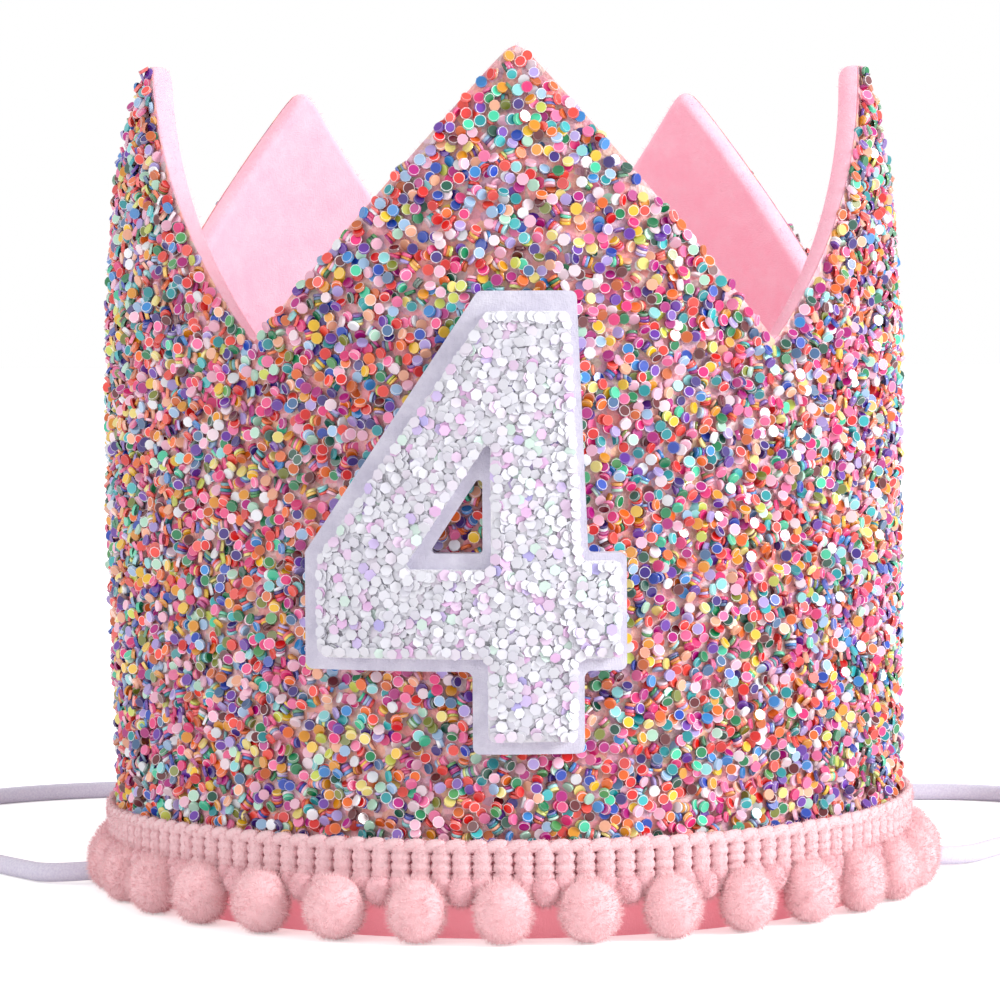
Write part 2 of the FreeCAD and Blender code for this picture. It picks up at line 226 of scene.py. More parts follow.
def add_mix(made, share, first, second, blend="MIX"):
    """A colour mix; each of share, first and second is a socket or a plain value."""
    mix = add_node(made, "ShaderNodeMix", data_type="RGBA", blend_type=blend)
    for number, source in ((0, share), (6, first), (7, second)):
        if isinstance(source, bpy.types.NodeSocket):
            link(made, source, mix.inputs[number])
        else:
            mix.inputs[number].default_value = source
    return mix.outputs[2]


def add_multiply(made, first, second):
    """One colour socket times another."""
    return add_mix(made, 1.0, first, second, "MULTIPLY")


def add_scaled(made, source, factor):
    """A number socket times a plain factor."""
    product = add_node(made, "ShaderNodeMath", {1: factor}, operation="MULTIPLY")
    link(made, source, product.inputs[0])
    return product.outputs[0]


def add_noise(made, size, detail=2.0, stretch=(1.0, 1.0, 1.0), roughness=0.5):
    """Noise whose features are about size millimetres across, stretched along some axes."""
    place = add_node(made, "ShaderNodeTexCoord")
    scaling = add_node(made, "ShaderNodeMapping")
    scaling.inputs["Scale"].default_value = [1 / part for part in stretch]
    settings = {"Scale": 1 / (size * MM), "Detail": detail, "Roughness": roughness}
    noise = add_node(made, "ShaderNodeTexNoise", settings)
    link(made, place.outputs["Object"], scaling.inputs["Vector"])
    link(made, scaling.outputs["Vector"], noise.inputs["Vector"])
    return noise.outputs["Fac"]


def add_bump(made, shader, height, depth):
    """Bump on a shader from a height socket; depth is in millimetres."""
    bump = add_node(made, "ShaderNodeBump", {"Strength": 1.0, "Distance": depth * MM})
    link(made, height, bump.inputs["Height"])
    link(made, bump.outputs["Normal"], shader.inputs["Normal"])


# Each confetti colour and how common it is
CONFETTI = [
    ("0E9098", 3), ("38BFC4", 2), ("8FD9DB", 2), ("42D2A4", 2),
    ("B4E0C8", 2), ("08824E", 3), ("0A5240", 2), ("4C9E56", 1),
    ("7A8226", 2), ("D2DC5C", 2), ("F4E280", 3), ("F8C626", 3),
    ("EA9A18", 4), ("F56E1E", 4), ("D06018", 3), ("FAB492", 4),
    ("F84A3E", 6), ("E21C16", 7), ("64101C", 3), ("EC2C7C", 6),
    ("B60E80", 6), ("F872A6", 6), ("F8BAD2", 6), ("F3DCE6", 3),
    ("EEF0F6", 3), ("B29EE0", 4), ("6A2CA8", 5), ("381C7C", 4),
    ("1646B8", 3), ("328AD6", 3), ("9FC2E6", 3), ("466C98", 2),
]


def add_confetti_colour(made, tone):
    """The confetti's colours, picked by a tone from 0 to 1 in their shares."""
    total = sum(share for _, share in CONFETTI)
    stops = []
    passed = 0
    for code, share in CONFETTI:
        stops.append((passed / total, code))
        passed += share
    return add_ramp(made, tone, stops, "CONSTANT")


def confetti_material():
    """Glossy coloured discs, each of one colour, with a pale rim round its flat face: partly the disc's
    pale cut edge, partly a painted highlight where the edge catches the light.
    """
    made, shader = new_material("confetti", Roughness=0.25, Coat_Weight=0.35, Coat_Roughness=0.06)
    colour = add_confetti_colour(made, "tone")
    shade = add_ramp(made, "shade", [(0.0, 0.74), (1.0, 1.0)])
    colour = add_multiply(made, colour, shade)
    place = add_node(made, "ShaderNodeUVMap", uv_map="UVMap")
    length = add_node(made, "ShaderNodeVectorMath", operation="LENGTH")
    link(made, place.outputs["UV"], length.inputs[0])
    # Half the distance from the disc's middle, so that its edge lies at 0.5 and its side wall past it
    half = add_scaled(made, length.outputs["Value"], 0.5)
    # Pale rim on the face and a slightly paler side wall: partly the discs' pale edges, partly a painted
    # highlight of the edge, stronger on brighter discs
    rim = add_ramp(made, half, [(0.0, 0.0), (0.41, 0.0), (0.44, 0.85), (0.5, 0.85), (0.52, 0.15)])
    strength = add_ramp(made, "shade", [(0.3, 0.15), (0.8, 1.0)])
    colour = add_mix(made, add_multiply(made, rim, strength), colour, srgb("F4EEF2"))
    link(made, colour, shader.inputs["Base Color"])
    return made


def cover_material():
    """The dusty pink fabric and glue under the discs, with the lowest discs sunk in it."""
    made, shader = new_material("confetti_ground", Roughness=0.4)
    noise = add_noise(made, 1.2, 4.0)
    colour = add_ramp(made, noise, [(0.3, "E2A4A8"), (0.55, "F2B8B8"), (0.75, "FACDC6")])
    place = add_node(made, "ShaderNodeTexCoord")
    cells = add_node(made, "ShaderNodeTexVoronoi", {"Scale": 1 / (SUNK_DISC_SPACING * MM)})
    link(made, place.outputs["Object"], cells.inputs["Vector"])
    split = add_node(made, "ShaderNodeSeparateColor")
    link(made, cells.outputs["Color"], split.inputs[0])
    sunk = add_confetti_colour(made, split.outputs["Red"])
    link(made, add_mix(made, 0.28, colour, sunk), shader.inputs["Base Color"])
    add_bump(made, shader, add_noise(made, 0.5, 3.0), 0.25)
    return made


def add_painted_bounce_and_glow(made, shader, colour, foot):
    """Paints light into a felt near the floor: painted shade tinted pink by light bounced off the yarn, and
    a faint painted glow.
    """
    place = add_node(made, "ShaderNodeTexCoord")
    split = add_node(made, "ShaderNodeSeparateXYZ")
    span = {"From Min": HEADER_BOTTOM * MM, "From Max": HEADER_TOP * MM, "To Min": 1.0, "To Max": 0.0}
    # rise runs from 1 at the header's bottom and below to 0 at its top: how much painted bounce and glow
    # the felt gets
    rise = add_node(made, "ShaderNodeMapRange", span)
    link(made, place.outputs["Object"], split.inputs[0])
    link(made, split.outputs["Z"], rise.inputs["Value"])
    # A faint pink painted glow, strongest at the floor
    shader.inputs["Emission Color"].default_value = srgb("F08C9C")
    link(made, add_scaled(made, rise.outputs["Result"], 0.4), shader.inputs["Emission Strength"])
    return add_mix(made, rise.outputs["Result"], colour, srgb(foot))


def felt_material(name, deep, middle, light, foot=None):
    """Pressed felt: short fibres lying every way, slightly mottled. foot is its colour at the floor:
    painted shade tinted pink by light bounced off the yarn, with a painted glow.
    """
    made, shader = new_material(name, Roughness=0.95, Sheen_Weight=0.25, Sheen_Roughness=0.6)
    mottle = add_noise(made, 3.0, 4.0, roughness=0.65)
    colour = add_ramp(made, mottle, [(0.3, deep), (0.5, middle), (0.7, light)])
    if foot:
        colour = add_painted_bounce_and_glow(made, shader, colour, foot)
    link(made, colour, shader.inputs["Base Color"])
    fibres = add_noise(made, 0.16, 3.0, (3.0, 3.0, 1.0))
    crossing = add_noise(made, 0.16, 3.0, (1.0, 1.0, 3.5))
    add_bump(made, shader, add_mix(made, 0.5, fibres, crossing), 0.14)
    return made


def yarn_material(name, root, tip, painted_shade, grain=0.12):
    """Fluffy yarn: deeper pink at the fibres' roots and paler towards their tips, with painted shade
    between the fibres where the open number says little light gets in.
    """
    made, shader = new_material(name, Roughness=1.0, Sheen_Weight=0.3, Sheen_Roughness=0.5)
    fluff = add_ramp(made, "tip", [(0.0, root), (1.0, tip)])
    # Painted shade: where little light gets in between the fibres, the colour is darkened towards
    # painted_shade
    depth = add_ramp(made, "open", [(0.0, painted_shade), (0.45, 1.0)])
    patches = add_ramp(made, add_noise(made, 0.9, 3.0), [(0.3, 0.92), (0.7, 1.0)])
    colour = add_multiply(made, add_multiply(made, fluff, depth), patches)
    link(made, colour, shader.inputs["Base Color"])
    add_bump(made, shader, add_noise(made, 0.2, 3.0), grain)
    return made


def flake_material():
    """Pearly white flakes; some are painted pink, lilac or mint: painted glints of their iridescent shine.
    """
    made, shader = new_material("numeral_flakes", Roughness=0.4, Specular_IOR_Level=0.35)
    # The stops from 0.74 on are painted pink, lilac and mint glints; the ones before them are the flakes'
    # whites
    stops = [
        (0.0, "DEDEE6"), (0.22, "DBDBE4"), (0.42, "DFDFE7"), (0.6, "D8D7E2"), (0.74, "E0D9E6"),
        (0.85, "E1C8E3"), (0.91, "E3BAE2"), (0.945, "CBBAE6"), (0.965, "D2E6DE"), (0.99, "B6AEE4"),
    ]
    colour = add_ramp(made, "tone", stops, "CONSTANT")
    shade = add_ramp(made, "shade", [(0.0, 0.91), (1.0, 1.0)])
    link(made, add_multiply(made, colour, shade), shader.inputs["Base Color"])
    return made


def flake_ground_material():
    """The white glue and small grit between the flakes."""
    made, shader = new_material("numeral_ground", Roughness=0.5)
    colour = add_ramp(made, add_noise(made, 0.6, 3.0), [(0.3, "E0DEE7"), (0.6, "EEEDF3")])
    link(made, colour, shader.inputs["Base Color"])
    add_bump(made, shader, add_noise(made, 0.3, 2.0), 0.15)
    return made


def elastic_material():
    """Round braided white elastic: two sets of strands that cross. Its lavender grey is painted shade with
    a lavender tint.
    """
    made, shader = new_material("elastic", Roughness=0.75, Sheen_Weight=0.2)
    place = add_node(made, "ShaderNodeUVMap")
    mapping = add_node(made, "ShaderNodeMapping")
    # Checks along the cord and round it
    mapping.inputs["Scale"].default_value = (260.0, 6.0, 1.0)
    link(made, place.outputs["UV"], mapping.inputs["Vector"])
    braid = add_node(made, "ShaderNodeTexChecker", {"Scale": 1.0})
    link(made, mapping.outputs["Vector"], braid.inputs["Vector"])
    soft = add_noise(made, 0.3, 2.0)
    # Painted shade: the white elastic is coloured a lavender grey
    colour = add_ramp(made, soft, [(0.3, "D0C9DF"), (0.7, "E0DBEA")])
    link(made, colour, shader.inputs["Base Color"])
    add_bump(made, shader, add_mix(made, 0.5, braid.outputs["Fac"], soft), 0.06)
    return made


# Meshes


def place_piece(name, data, node=None):
    """A visible piece that rides on the crown's one body, and stands for a CAD node if one is named."""
    piece = bpy.data.objects.new(name, data)
    bpy.context.scene.collection.objects.link(piece)
    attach(piece, "root")
    if node:
        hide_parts(node)
    return piece


def make_object(name, corners, faces, material, node=None, attributes=None):
    """A mesh piece in metres from corners in millimetres."""
    mesh = bpy.data.meshes.new(name)
    mesh.from_pydata((np.asarray(corners) * MM).tolist(), [], faces)
    for label, (domain, numbers) in (attributes or {}).items():
        layer = mesh.attributes.new(label, "FLOAT", domain)
        layer.data.foreach_set("value", np.asarray(numbers, np.float32))
    mesh.materials.append(material)
    return place_piece(name, mesh, node)


def dress_node(node, material):
    """A CAD node kept as it is, with a better material."""
    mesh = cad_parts[node].data
    mesh.materials.clear()
    mesh.materials.append(material)


def rim_height(angle):
    """The height of the zigzag cut edge at an angle or an array of angles."""
    half_peak = math.pi / PEAK_COUNT
    angle = np.mod(np.asarray(angle, float) + math.pi, 2 * math.pi) - math.pi
    near_front = np.abs(angle) < 2 * half_peak
    angle = angle - np.where(near_front, FRONT_WIDENING * np.sin(angle * PEAK_COUNT / 2), 0.0)
    apex = TIP_HEIGHT + TIP_BLUNTING
    flank = math.sqrt((apex - VALLEY_HEIGHT) ** 2 - TIP_BLUNTING**2)
    off = np.mod(angle + half_peak, 2 * half_peak) - half_peak
    return apex - np.hypot(flank * np.sin(off) / math.sin(half_peak), TIP_BLUNTING)


def pressed_in(angle, up):
    """How far the wall, and what hangs on it, is pressed in at an angle and a height."""
    off = np.mod(angle - PRESS_ANGLE + math.pi, 2 * math.pi) - math.pi
    rise = np.clip(up / PRESS_TOP, 0, 1)
    return PRESS_DEPTH * np.exp(-((off / PRESS_SPREAD) ** 2)) * (1 - rise * rise * (3 - 2 * rise))


def ring_faces(rings, segments, closed=False):
    """Faces that join rings of corners one to the next, and the last to the first if closed."""
    faces = []
    for ring in range(rings if closed else rings - 1):
        low = ring * segments
        high = (ring + 1) % rings * segments
        for corner in range(segments):
            after = (corner + 1) % segments
            faces.append([low + corner, low + after, high + after, high + corner])
    return faces


def tube_faces(rings, segments, flipped=False):
    """Faces of a closed tube: its rings joined, and then a cap at each end."""
    faces = ring_faces(rings, segments)
    top = (rings - 1) * segments
    faces.append(list(reversed(range(segments))))
    faces.append([top + corner for corner in range(segments)])
    return [face[::-1] for face in faces] if flipped else faces


def level_axes(angle):
    """The level directions outward and sideways at each angle round the crown."""
    zero = np.zeros_like(angle)
    outward = np.stack([np.sin(angle), -np.cos(angle), zero], axis=1)
    sideways = np.stack([np.cos(angle), np.sin(angle), zero], axis=1)
    return outward, sideways


def wall_frames(across, up, radius):
    """Where points of an unrolled face of the wall lie, and their sideways, upward and outward axes."""
    angle = across / radius
    lean = np.maximum(up - LEAN_START, 0) / LEAN_RADIUS
    upright = np.sqrt(1 - lean**2)
    reach = radius - LEAN_RADIUS + LEAN_RADIUS * upright - pressed_in(angle, up)
    level, sideways = level_axes(angle)
    vertical = np.array([0.0, 0.0, 1.0])
    outward = level * upright[:, None] + vertical * lean[:, None]
    upward = vertical * upright[:, None] - level * lean[:, None]
    places = level * reach[:, None] + vertical * up[:, None]
    return places, np.stack([sideways, upward, outward], axis=1)


def wall_shell(name, outer, thickness, edge_thickness, bottom, roundings, material, node):
    """A layer of the wall, cut along the zigzag.

    Its rings go up the outer face, over the rim, whose outer and inner edges are rounded, and down
    the inner face, which thins towards the foot over its lower half.
    """
    arc = [math.pi / 2 * step / RIM_STEPS for step in range(RIM_STEPS + 1)]
    outer_rounding, inner_rounding = roundings
    rings = [(outer, outer_rounding, level / WALL_LEVELS) for level in range(WALL_LEVELS)]
    for turn in arc:
        radius = outer - outer_rounding * (1 - math.cos(turn))
        rings.append((radius, outer_rounding * (1 - math.sin(turn)), 1.0))
    for turn in reversed(arc):
        radius = outer - edge_thickness + inner_rounding * (1 - math.cos(turn))
        rings.append((radius, inner_rounding * (1 - math.sin(turn)), 1.0))
    for level in reversed(range(WALL_LEVELS)):
        share = level / WALL_LEVELS
        radius = outer - thickness - (edge_thickness - thickness) * min(2 * share, 1.0)
        rings.append((radius, inner_rounding, share))
    angles = np.arange(WALL_COLUMNS) * 2 * math.pi / WALL_COLUMNS
    tops = rim_height(angles)
    corners = []
    for radius, drop, share in rings:
        up = bottom + (tops - drop - bottom) * share
        places, _ = wall_frames(angles * radius, up, radius)
        corners.append(places)
    faces = ring_faces(len(rings), WALL_COLUMNS, closed=True)
    piece = make_object(name, np.concatenate(corners), faces, material, node)
    # The foot, which the last ring of faces closes, is flat
    smooth = np.ones(len(faces), bool)
    smooth[-WALL_COLUMNS:] = False
    piece.data.polygons.foreach_set("use_smooth", smooth)


def make_numeral_base(material):
    """The numeral's felt, with its back let down through the discs to the fabric under them."""
    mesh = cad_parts["numeral_base"].data.copy()
    back = (COVER_RADIUS + 0.1) * MM
    for corner in mesh.vertices:
        radius = math.hypot(corner.co.x, corner.co.y)
        if radius < back:
            corner.co.xy *= GROUND_RADIUS * MM / radius
    mesh.materials.clear()
    mesh.materials.append(material)
    place_piece("numeral_felt", mesh, "numeral_base")


class Bed:
    """A height map of what lies on an unrolled face, for discs that are dropped on it one by one."""

    CELL = 0.15
    # A disc's plane lies above this percentage of what is under it, which has some cells at least
    PLANE_ABOVE = 93
    FEWEST_CELLS = 4

    def __init__(self, width, height):
        self.columns = int(round(width / self.CELL))
        self.rows = int(round(height / self.CELL))
        self.top = np.zeros((self.rows, self.columns), np.float32)

    def spot(self, across, up, reach_across, reach_up, turn=0.0):
        """The cells under a turned block, where they lie from its middle, and how far beside its axis."""
        reach = int(math.hypot(reach_across, reach_up) / self.CELL) + 1
        steps = np.arange(-reach, reach + 1)
        right, rise = (grid.ravel() for grid in np.meshgrid(steps, steps))
        column = int(round(across / self.CELL))
        row = int(round(up / self.CELL))
        dx = (right + column) * self.CELL - across
        dy = (rise + row) * self.CELL - up
        along = dx * math.cos(turn) + dy * math.sin(turn)
        beside = dy * math.cos(turn) - dx * math.sin(turn)
        keep = (np.abs(along) <= reach_across) & (np.abs(beside) <= reach_up)
        keep &= (rise + row >= 0) & (rise + row < self.rows)
        cells = ((rise + row)[keep], np.mod((right + column)[keep], self.columns))
        return cells, dx[keep], dy[keep], beside[keep]

    def height(self, across, up):
        """How high what lies at a spot reaches."""
        column = int(round(across / self.CELL)) % self.columns
        row = min(int(round(up / self.CELL)), self.rows - 1)
        return self.top[row, column]

    def rest(self, across, up, radius, thickness, steepest, highest, most_covered):
        """Rests a flat disc on what is there. Returns its height and slopes, or None if it is refused."""
        cells, dx, dy, _ = self.spot(across, up, radius, radius)
        within = dx * dx + dy * dy <= radius * radius
        cells = (cells[0][within], cells[1][within])
        dx = dx[within]
        dy = dy[within]
        under = self.top[cells]
        if len(under) < self.FEWEST_CELLS or (under > thickness / 2).mean() > most_covered:
            return None
        slope_x = float((under * dx).sum() / (dx * dx).sum())
        slope_y = float((under * dy).sum() / (dy * dy).sum())
        steepness = math.hypot(slope_x, slope_y)
        if steepness > steepest:
            slope_x *= steepest / steepness
            slope_y *= steepest / steepness
        lift = float(np.percentile(under - slope_x * dx - slope_y * dy, self.PLANE_ABOVE))
        if lift > highest:
            return None
        plane = lift + slope_x * dx + slope_y * dy + thickness * math.sqrt(1 + slope_x**2 + slope_y**2)
        self.top[cells] = np.maximum(under, plane)
        return lift, slope_x, slope_y


def prism_mesh(name, places, axes, radii, thicknesses, sides, tones, shades, material, standing=0):
    """Many little discs or flakes as one mesh: a face and a side wall each.

    The first ones, as many as are standing on edge, have a back face too.
    """
    angles = np.arange(sides) * 2 * math.pi / sides
    ring = np.stack([np.cos(angles), np.sin(angles)], axis=1)
    flat = ring[None, :, 0, None] * axes[:, None, 0, :] + ring[None, :, 1, None] * axes[:, None, 1, :]
    middle_ring = places[:, None, :] + flat * radii[:, None, None]
    lift = axes[:, None, 2, :] * (thicknesses / 2)[:, None, None]
    corners = np.concatenate([middle_ring + lift, middle_ring - lift], axis=1)
    face = list(range(sides))
    back = [2 * sides - 1 - corner for corner in range(sides)]
    walls = [
        [corner, corner + sides, (corner + 1) % sides + sides, (corner + 1) % sides]
        for corner in range(sides)
    ]
    flat_uv = ring.tolist()
    # The walls' place on the map lies past the discs' pale rim
    wall_uv = [[1.6, 0.0]] * (4 * sides)
    faces = []
    owners = []
    uv = []
    smooth = []
    for disc in range(len(places)):
        flats = [face, back] if disc < standing else [face]
        faces += [[corner + 2 * sides * disc for corner in polygon] for polygon in flats + walls]
        owners += [disc] * (len(flats) + sides)
        for polygon in flats:
            uv += [flat_uv[corner % sides] for corner in polygon]
        uv += wall_uv
        smooth += [False] * len(flats) + [True] * sides
    attributes = {"tone": ("FACE", tones[owners]), "shade": ("FACE", shades[owners])}
    piece = make_object(name, corners.reshape(-1, 3), faces, material, None, attributes)
    layer = piece.data.uv_layers.new(name="UVMap")
    layer.data.foreach_set("uv", np.array(uv).ravel())
    piece.data.polygons.foreach_set("use_smooth", smooth)


def spun_axes(normals, spins, frames):
    """Three axes for each disc in the crown's frame, from its normal in its own spot's frame and a spin."""
    normals = normals / np.linalg.norm(normals, axis=1)[:, None]
    helper = np.where(np.abs(normals[:, :1]) < 0.8, [[1.0, 0.0, 0.0]], [[0.0, 1.0, 0.0]])
    first = np.cross(helper, normals)
    first /= np.linalg.norm(first, axis=1)[:, None]
    second = np.cross(normals, first)
    turned_first = first * np.cos(spins)[:, None] + second * np.sin(spins)[:, None]
    turned_second = np.cross(normals, turned_first)
    own = np.stack([turned_first, turned_second, normals], axis=1)
    return np.einsum("nij,njk->nik", own, frames)


def node_tree(node):
    """A search tree of a CAD node's faces."""
    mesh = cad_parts[node].data
    corners = [corner.co for corner in mesh.vertices]
    return BVHTree.FromPolygons(corners, [face.vertices for face in mesh.polygons])


def meets(tree, across, up, radius, margin):
    """Whether a spot of the unrolled face lies under what a search tree holds, by a margin all round."""
    start_radius = 90.0
    ray_length = 45.0
    for right, rise in ((-margin, 0), (margin, 0), (0, -margin), (0, margin)):
        angle = (across + right) / radius
        start = Vector(around(start_radius, angle, up + rise)) * MM
        inward = -Vector(around(1.0, angle))
        if tree.ray_cast(start, inward, ray_length * MM)[0] is None:
            return False
    return True


def clear_spot(numeral):
    """A random spot on the cover, off its cut edge and clear of the numeral."""
    while True:
        across = rng.uniform(-GIRTH / 2, GIRTH / 2)
        up = rng.uniform(CONFETTI_BOTTOM, TIP_HEIGHT)
        inset = RIM_INSET if abs(across) < GIRTH / 2 * BACK_START else BACK_RIM_INSET
        if up > rim_height(across / GROUND_RADIUS) - inset:
            continue
        if abs(across) < NUMERAL_REACH and meets(numeral, across, up, GROUND_RADIUS, 0.5):
            continue
        return across, up


def lay_rolls(bed, numeral):
    """Rolls of discs that stand on edge, a little sunk in the glue. Returns a row for each disc:
    place across, place up, height of its middle, its normal, radius and thickness."""
    discs = []
    for _ in range(DISC_ROLLS):
        across, up = clear_spot(numeral)
        length = 1 + int((LONGEST_ROLL - 1) * rng.random() ** 2.6 + 0.4)
        turn = rng.uniform(0, math.pi)
        middle = DISC_RADIUS - rng.uniform(0.2, 0.6)
        thickness = ROLLED_THICKNESS * rng.uniform(0.85, 1.2)
        half_length = length * thickness / 2
        cells, _, _, beside = bed.spot(across, up, half_length + 0.1, DISC_RADIUS * 0.95, turn)
        taken = (bed.top[cells] > 0.3).mean()
        if taken > 0.12:
            continue
        roof = middle + np.sqrt(np.maximum(DISC_RADIUS**2 - beside**2, 0))
        bed.top[cells] = np.maximum(bed.top[cells], roof)
        # A disc that stands alone leans any way
        lean = rng.normal(0, 0.3) if length > 1 else rng.uniform(-1.6, 1.6)
        for place in range(length):
            offset = (place - (length - 1) / 2) * thickness * 1.04
            discs.append((
                across + offset * math.cos(turn),
                up + offset * math.sin(turn),
                middle + rng.normal(0, 0.05),
                math.cos(turn) + rng.normal(0, 0.04),
                math.sin(turn) + rng.normal(0, 0.04),
                lean + rng.normal(0, 0.05),
                DISC_RADIUS * rng.uniform(0.95, 1.03),
                thickness,
            ))
    return discs


def lay_loose_discs(bed, numeral):
    """Loose flat discs, each on the barest of three spots. Returns rows as lay_rolls does."""
    discs = []
    tries = 0
    while len(discs) < LOOSE_DISCS and tries < 6 * LOOSE_DISCS:
        tries += 1
        spots = [clear_spot(numeral) for _ in range(3)]
        across, up = min(spots, key=lambda place: bed.height(*place))
        radius = DISC_RADIUS * rng.uniform(0.93, 1.06)
        thickness = DISC_THICKNESS * rng.uniform(0.75, 1.2)
        found = bed.rest(across, up, radius, thickness, 1.2, 0.85, 0.88)
        if found is None:
            continue
        lift, slope_x, slope_y = found
        slope_x += rng.normal(0, LOOSE_TILT)
        slope_y += rng.normal(0, LOOSE_TILT)
        lift += thickness / 2 * math.sqrt(1 + slope_x**2 + slope_y**2)
        discs.append((across, up, lift, -slope_x, -slope_y, 1.0, radius, thickness))
    return discs


def make_confetti(material):
    """Rolls of discs on edge and loose flat discs all over the cover, as one piece for each peak."""
    bed = Bed(GIRTH, TIP_HEIGHT + 2)
    numeral = node_tree("numeral_base")
    rolled = lay_rolls(bed, numeral)
    discs = np.array(rolled + lay_loose_discs(bed, numeral))
    count = len(discs)
    on_edge = np.arange(count) < len(rolled)
    across, up, lift = discs[:, :3].T
    places, frames = wall_frames(across, up, GROUND_RADIUS)
    places = places + frames[:, 2] * lift[:, None]
    axes = spun_axes(discs[:, 3:6], rng.uniform(0, 2 * math.pi, count), frames)
    tones = rng.random(count)
    shades = rng.random(count)
    peaks = np.mod(np.round(across / GIRTH * PEAK_COUNT), PEAK_COUNT)
    for peak in range(PEAK_COUNT):
        own = peaks == peak
        prism_mesh(
            f"confetti_peak_{peak + 1}", places[own], axes[own], discs[own, 6], discs[own, 7], DISC_SIDES,
            tones[own], shades[own], material, int((own & on_edge).sum()),
        )


def lay_flakes():
    """Flakes that rest on the numeral's face. Returns a row for each: place across, place up,
    height of its middle, its normal and radius."""
    face = node_tree("numeral_face")
    low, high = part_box("numeral_face")
    bed = Bed(2 * math.pi * NUMERAL_RADIUS, TIP_HEIGHT)
    flakes = []
    tries = 0
    while len(flakes) < FLAKE_COUNT and tries < 12 * FLAKE_COUNT:
        tries += 1
        side = rng.uniform(low.x, high.x) / MM
        across = NUMERAL_RADIUS * math.asin(side / NUMERAL_RADIUS)
        up = rng.uniform(low.z, high.z) / MM
        if not meets(face, across, up, NUMERAL_RADIUS, 0.6):
            continue
        radius = FLAKE_RADIUS * rng.uniform(0.9, 1.08)
        found = bed.rest(across, up, radius, FLAKE_THICKNESS, 0.5, 0.7, 0.96)
        if found is None:
            continue
        lift, slope_x, slope_y = found
        slope_x += rng.normal(0, FLAKE_TILT)
        slope_y += rng.normal(0, FLAKE_TILT)
        flakes.append((across, up, lift + FLAKE_THICKNESS / 2, -slope_x, -slope_y, 1.0, radius))
    return np.array(flakes)


def make_flakes(material):
    """White hexagonal flakes that overlap on the numeral's face."""
    flakes = lay_flakes()
    count = len(flakes)
    across, up, lift = flakes[:, :3].T
    outward, sideways = level_axes(across / NUMERAL_RADIUS)
    vertical = np.tile([0.0, 0.0, 1.0], (count, 1))
    places = outward * (NUMERAL_RADIUS + lift)[:, None] + vertical * up[:, None]
    frames = np.stack([sideways, vertical, outward], axis=1)
    axes = spun_axes(flakes[:, 3:6], rng.uniform(0, 2 * math.pi, count), frames)
    tones = rng.random(count)
    shades = rng.random(count)
    prism_mesh(
        "numeral_flakes", places, axes, flakes[:, 6], np.full(count, FLAKE_THICKNESS), FLAKE_SIDES,
        tones, shades, material,
    )


class Fluff:
    """Collects yarn bodies and their fibres into one mesh, in the crown's frame.

    Each corner has a tip number, from a fibre's root at 0 to its tip at 1, and an open number, which
    says how much light reaches it between its neighbours.
    """

    ROOT_TIP = 0.35
    LOWEST = 0.04

    def __init__(self):
        self.corners = []
        self.faces = []
        self.tips = []
        self.opens = []

    def add(self, corners, faces, tips, opens):
        start = len(self.corners)
        self.corners.extend(corners.tolist())
        self.faces.extend([[corner + start for corner in face] for face in faces])
        self.tips.extend(np.broadcast_to(tips, len(corners)).tolist())
        self.opens.extend(np.broadcast_to(opens, len(corners)).tolist())

    def add_fibres(self, roots, directions, lengths, width, opens):
        """A thin triangle for each fibre, from its root to its tip, kept off the floor."""
        directions = directions / np.linalg.norm(directions, axis=1)[:, None]
        side = np.cross(directions, rng.normal(size=directions.shape))
        side *= (width / 2 / np.linalg.norm(side, axis=1))[:, None]
        tips = roots + directions * lengths[:, None]
        corners = np.stack([roots - side, roots + side, tips], axis=1).reshape(-1, 3)
        corners[:, 2] = np.maximum(corners[:, 2], self.LOWEST)
        count = len(roots)
        faces = np.arange(3 * count).reshape(-1, 3).tolist()
        self.add(corners, faces, np.tile([self.ROOT_TIP, self.ROOT_TIP, 1.0], count), np.repeat(opens, 3))

    def finish(self, name, material, node):
        """The mesh as a piece that stands for a CAD node."""
        attributes = {"tip": ("POINT", self.tips), "open": ("POINT", self.opens)}
        piece = make_object(name, self.corners, self.faces, material, node, attributes)
        piece.data.polygons.foreach_set("use_smooth", np.ones(len(self.faces), bool))


def turned_body(profile, segments):
    """Corners and faces of a profile of radius and height turned about +Z."""
    turns = np.arange(segments) * 2 * math.pi / segments
    rings = [
        np.stack([radius * np.cos(turns), radius * np.sin(turns), np.full(segments, height)], axis=1)
        for radius, height in profile
    ]
    return np.concatenate(rings), tube_faces(len(profile), segments)


def turned_samples(profile, count):
    """Random points on a turned profile and their outward normals, spread by area."""
    profile = np.asarray(profile, float)
    start = profile[:-1]
    run = profile[1:] - start
    length = np.linalg.norm(run, axis=1)
    area = (start[:, 0] + profile[1:, 0]) * length
    level = rng.choice(len(area), count, p=area / area.sum())
    share = rng.random(count)
    angle = rng.uniform(0, 2 * math.pi, count)
    radius = start[level, 0] + share * run[level, 0]
    height = start[level, 1] + share * run[level, 1]
    across, rise = (run[level] / length[level, None]).T
    points = np.stack([radius * np.cos(angle), radius * np.sin(angle), height], axis=1)
    normals = np.stack([rise * np.cos(angle), rise * np.sin(angle), -across], axis=1)
    return points, normals


def turn_about_axis(points, angle):
    """Points built at the front (-Y), turned round the crown to an angle."""
    cosine, sine = math.cos(angle), math.sin(angle)
    turned = points.copy()
    turned[:, 0] = points[:, 0] * cosine - points[:, 1] * sine
    turned[:, 1] = points[:, 0] * sine + points[:, 1] * cosine
    return turned


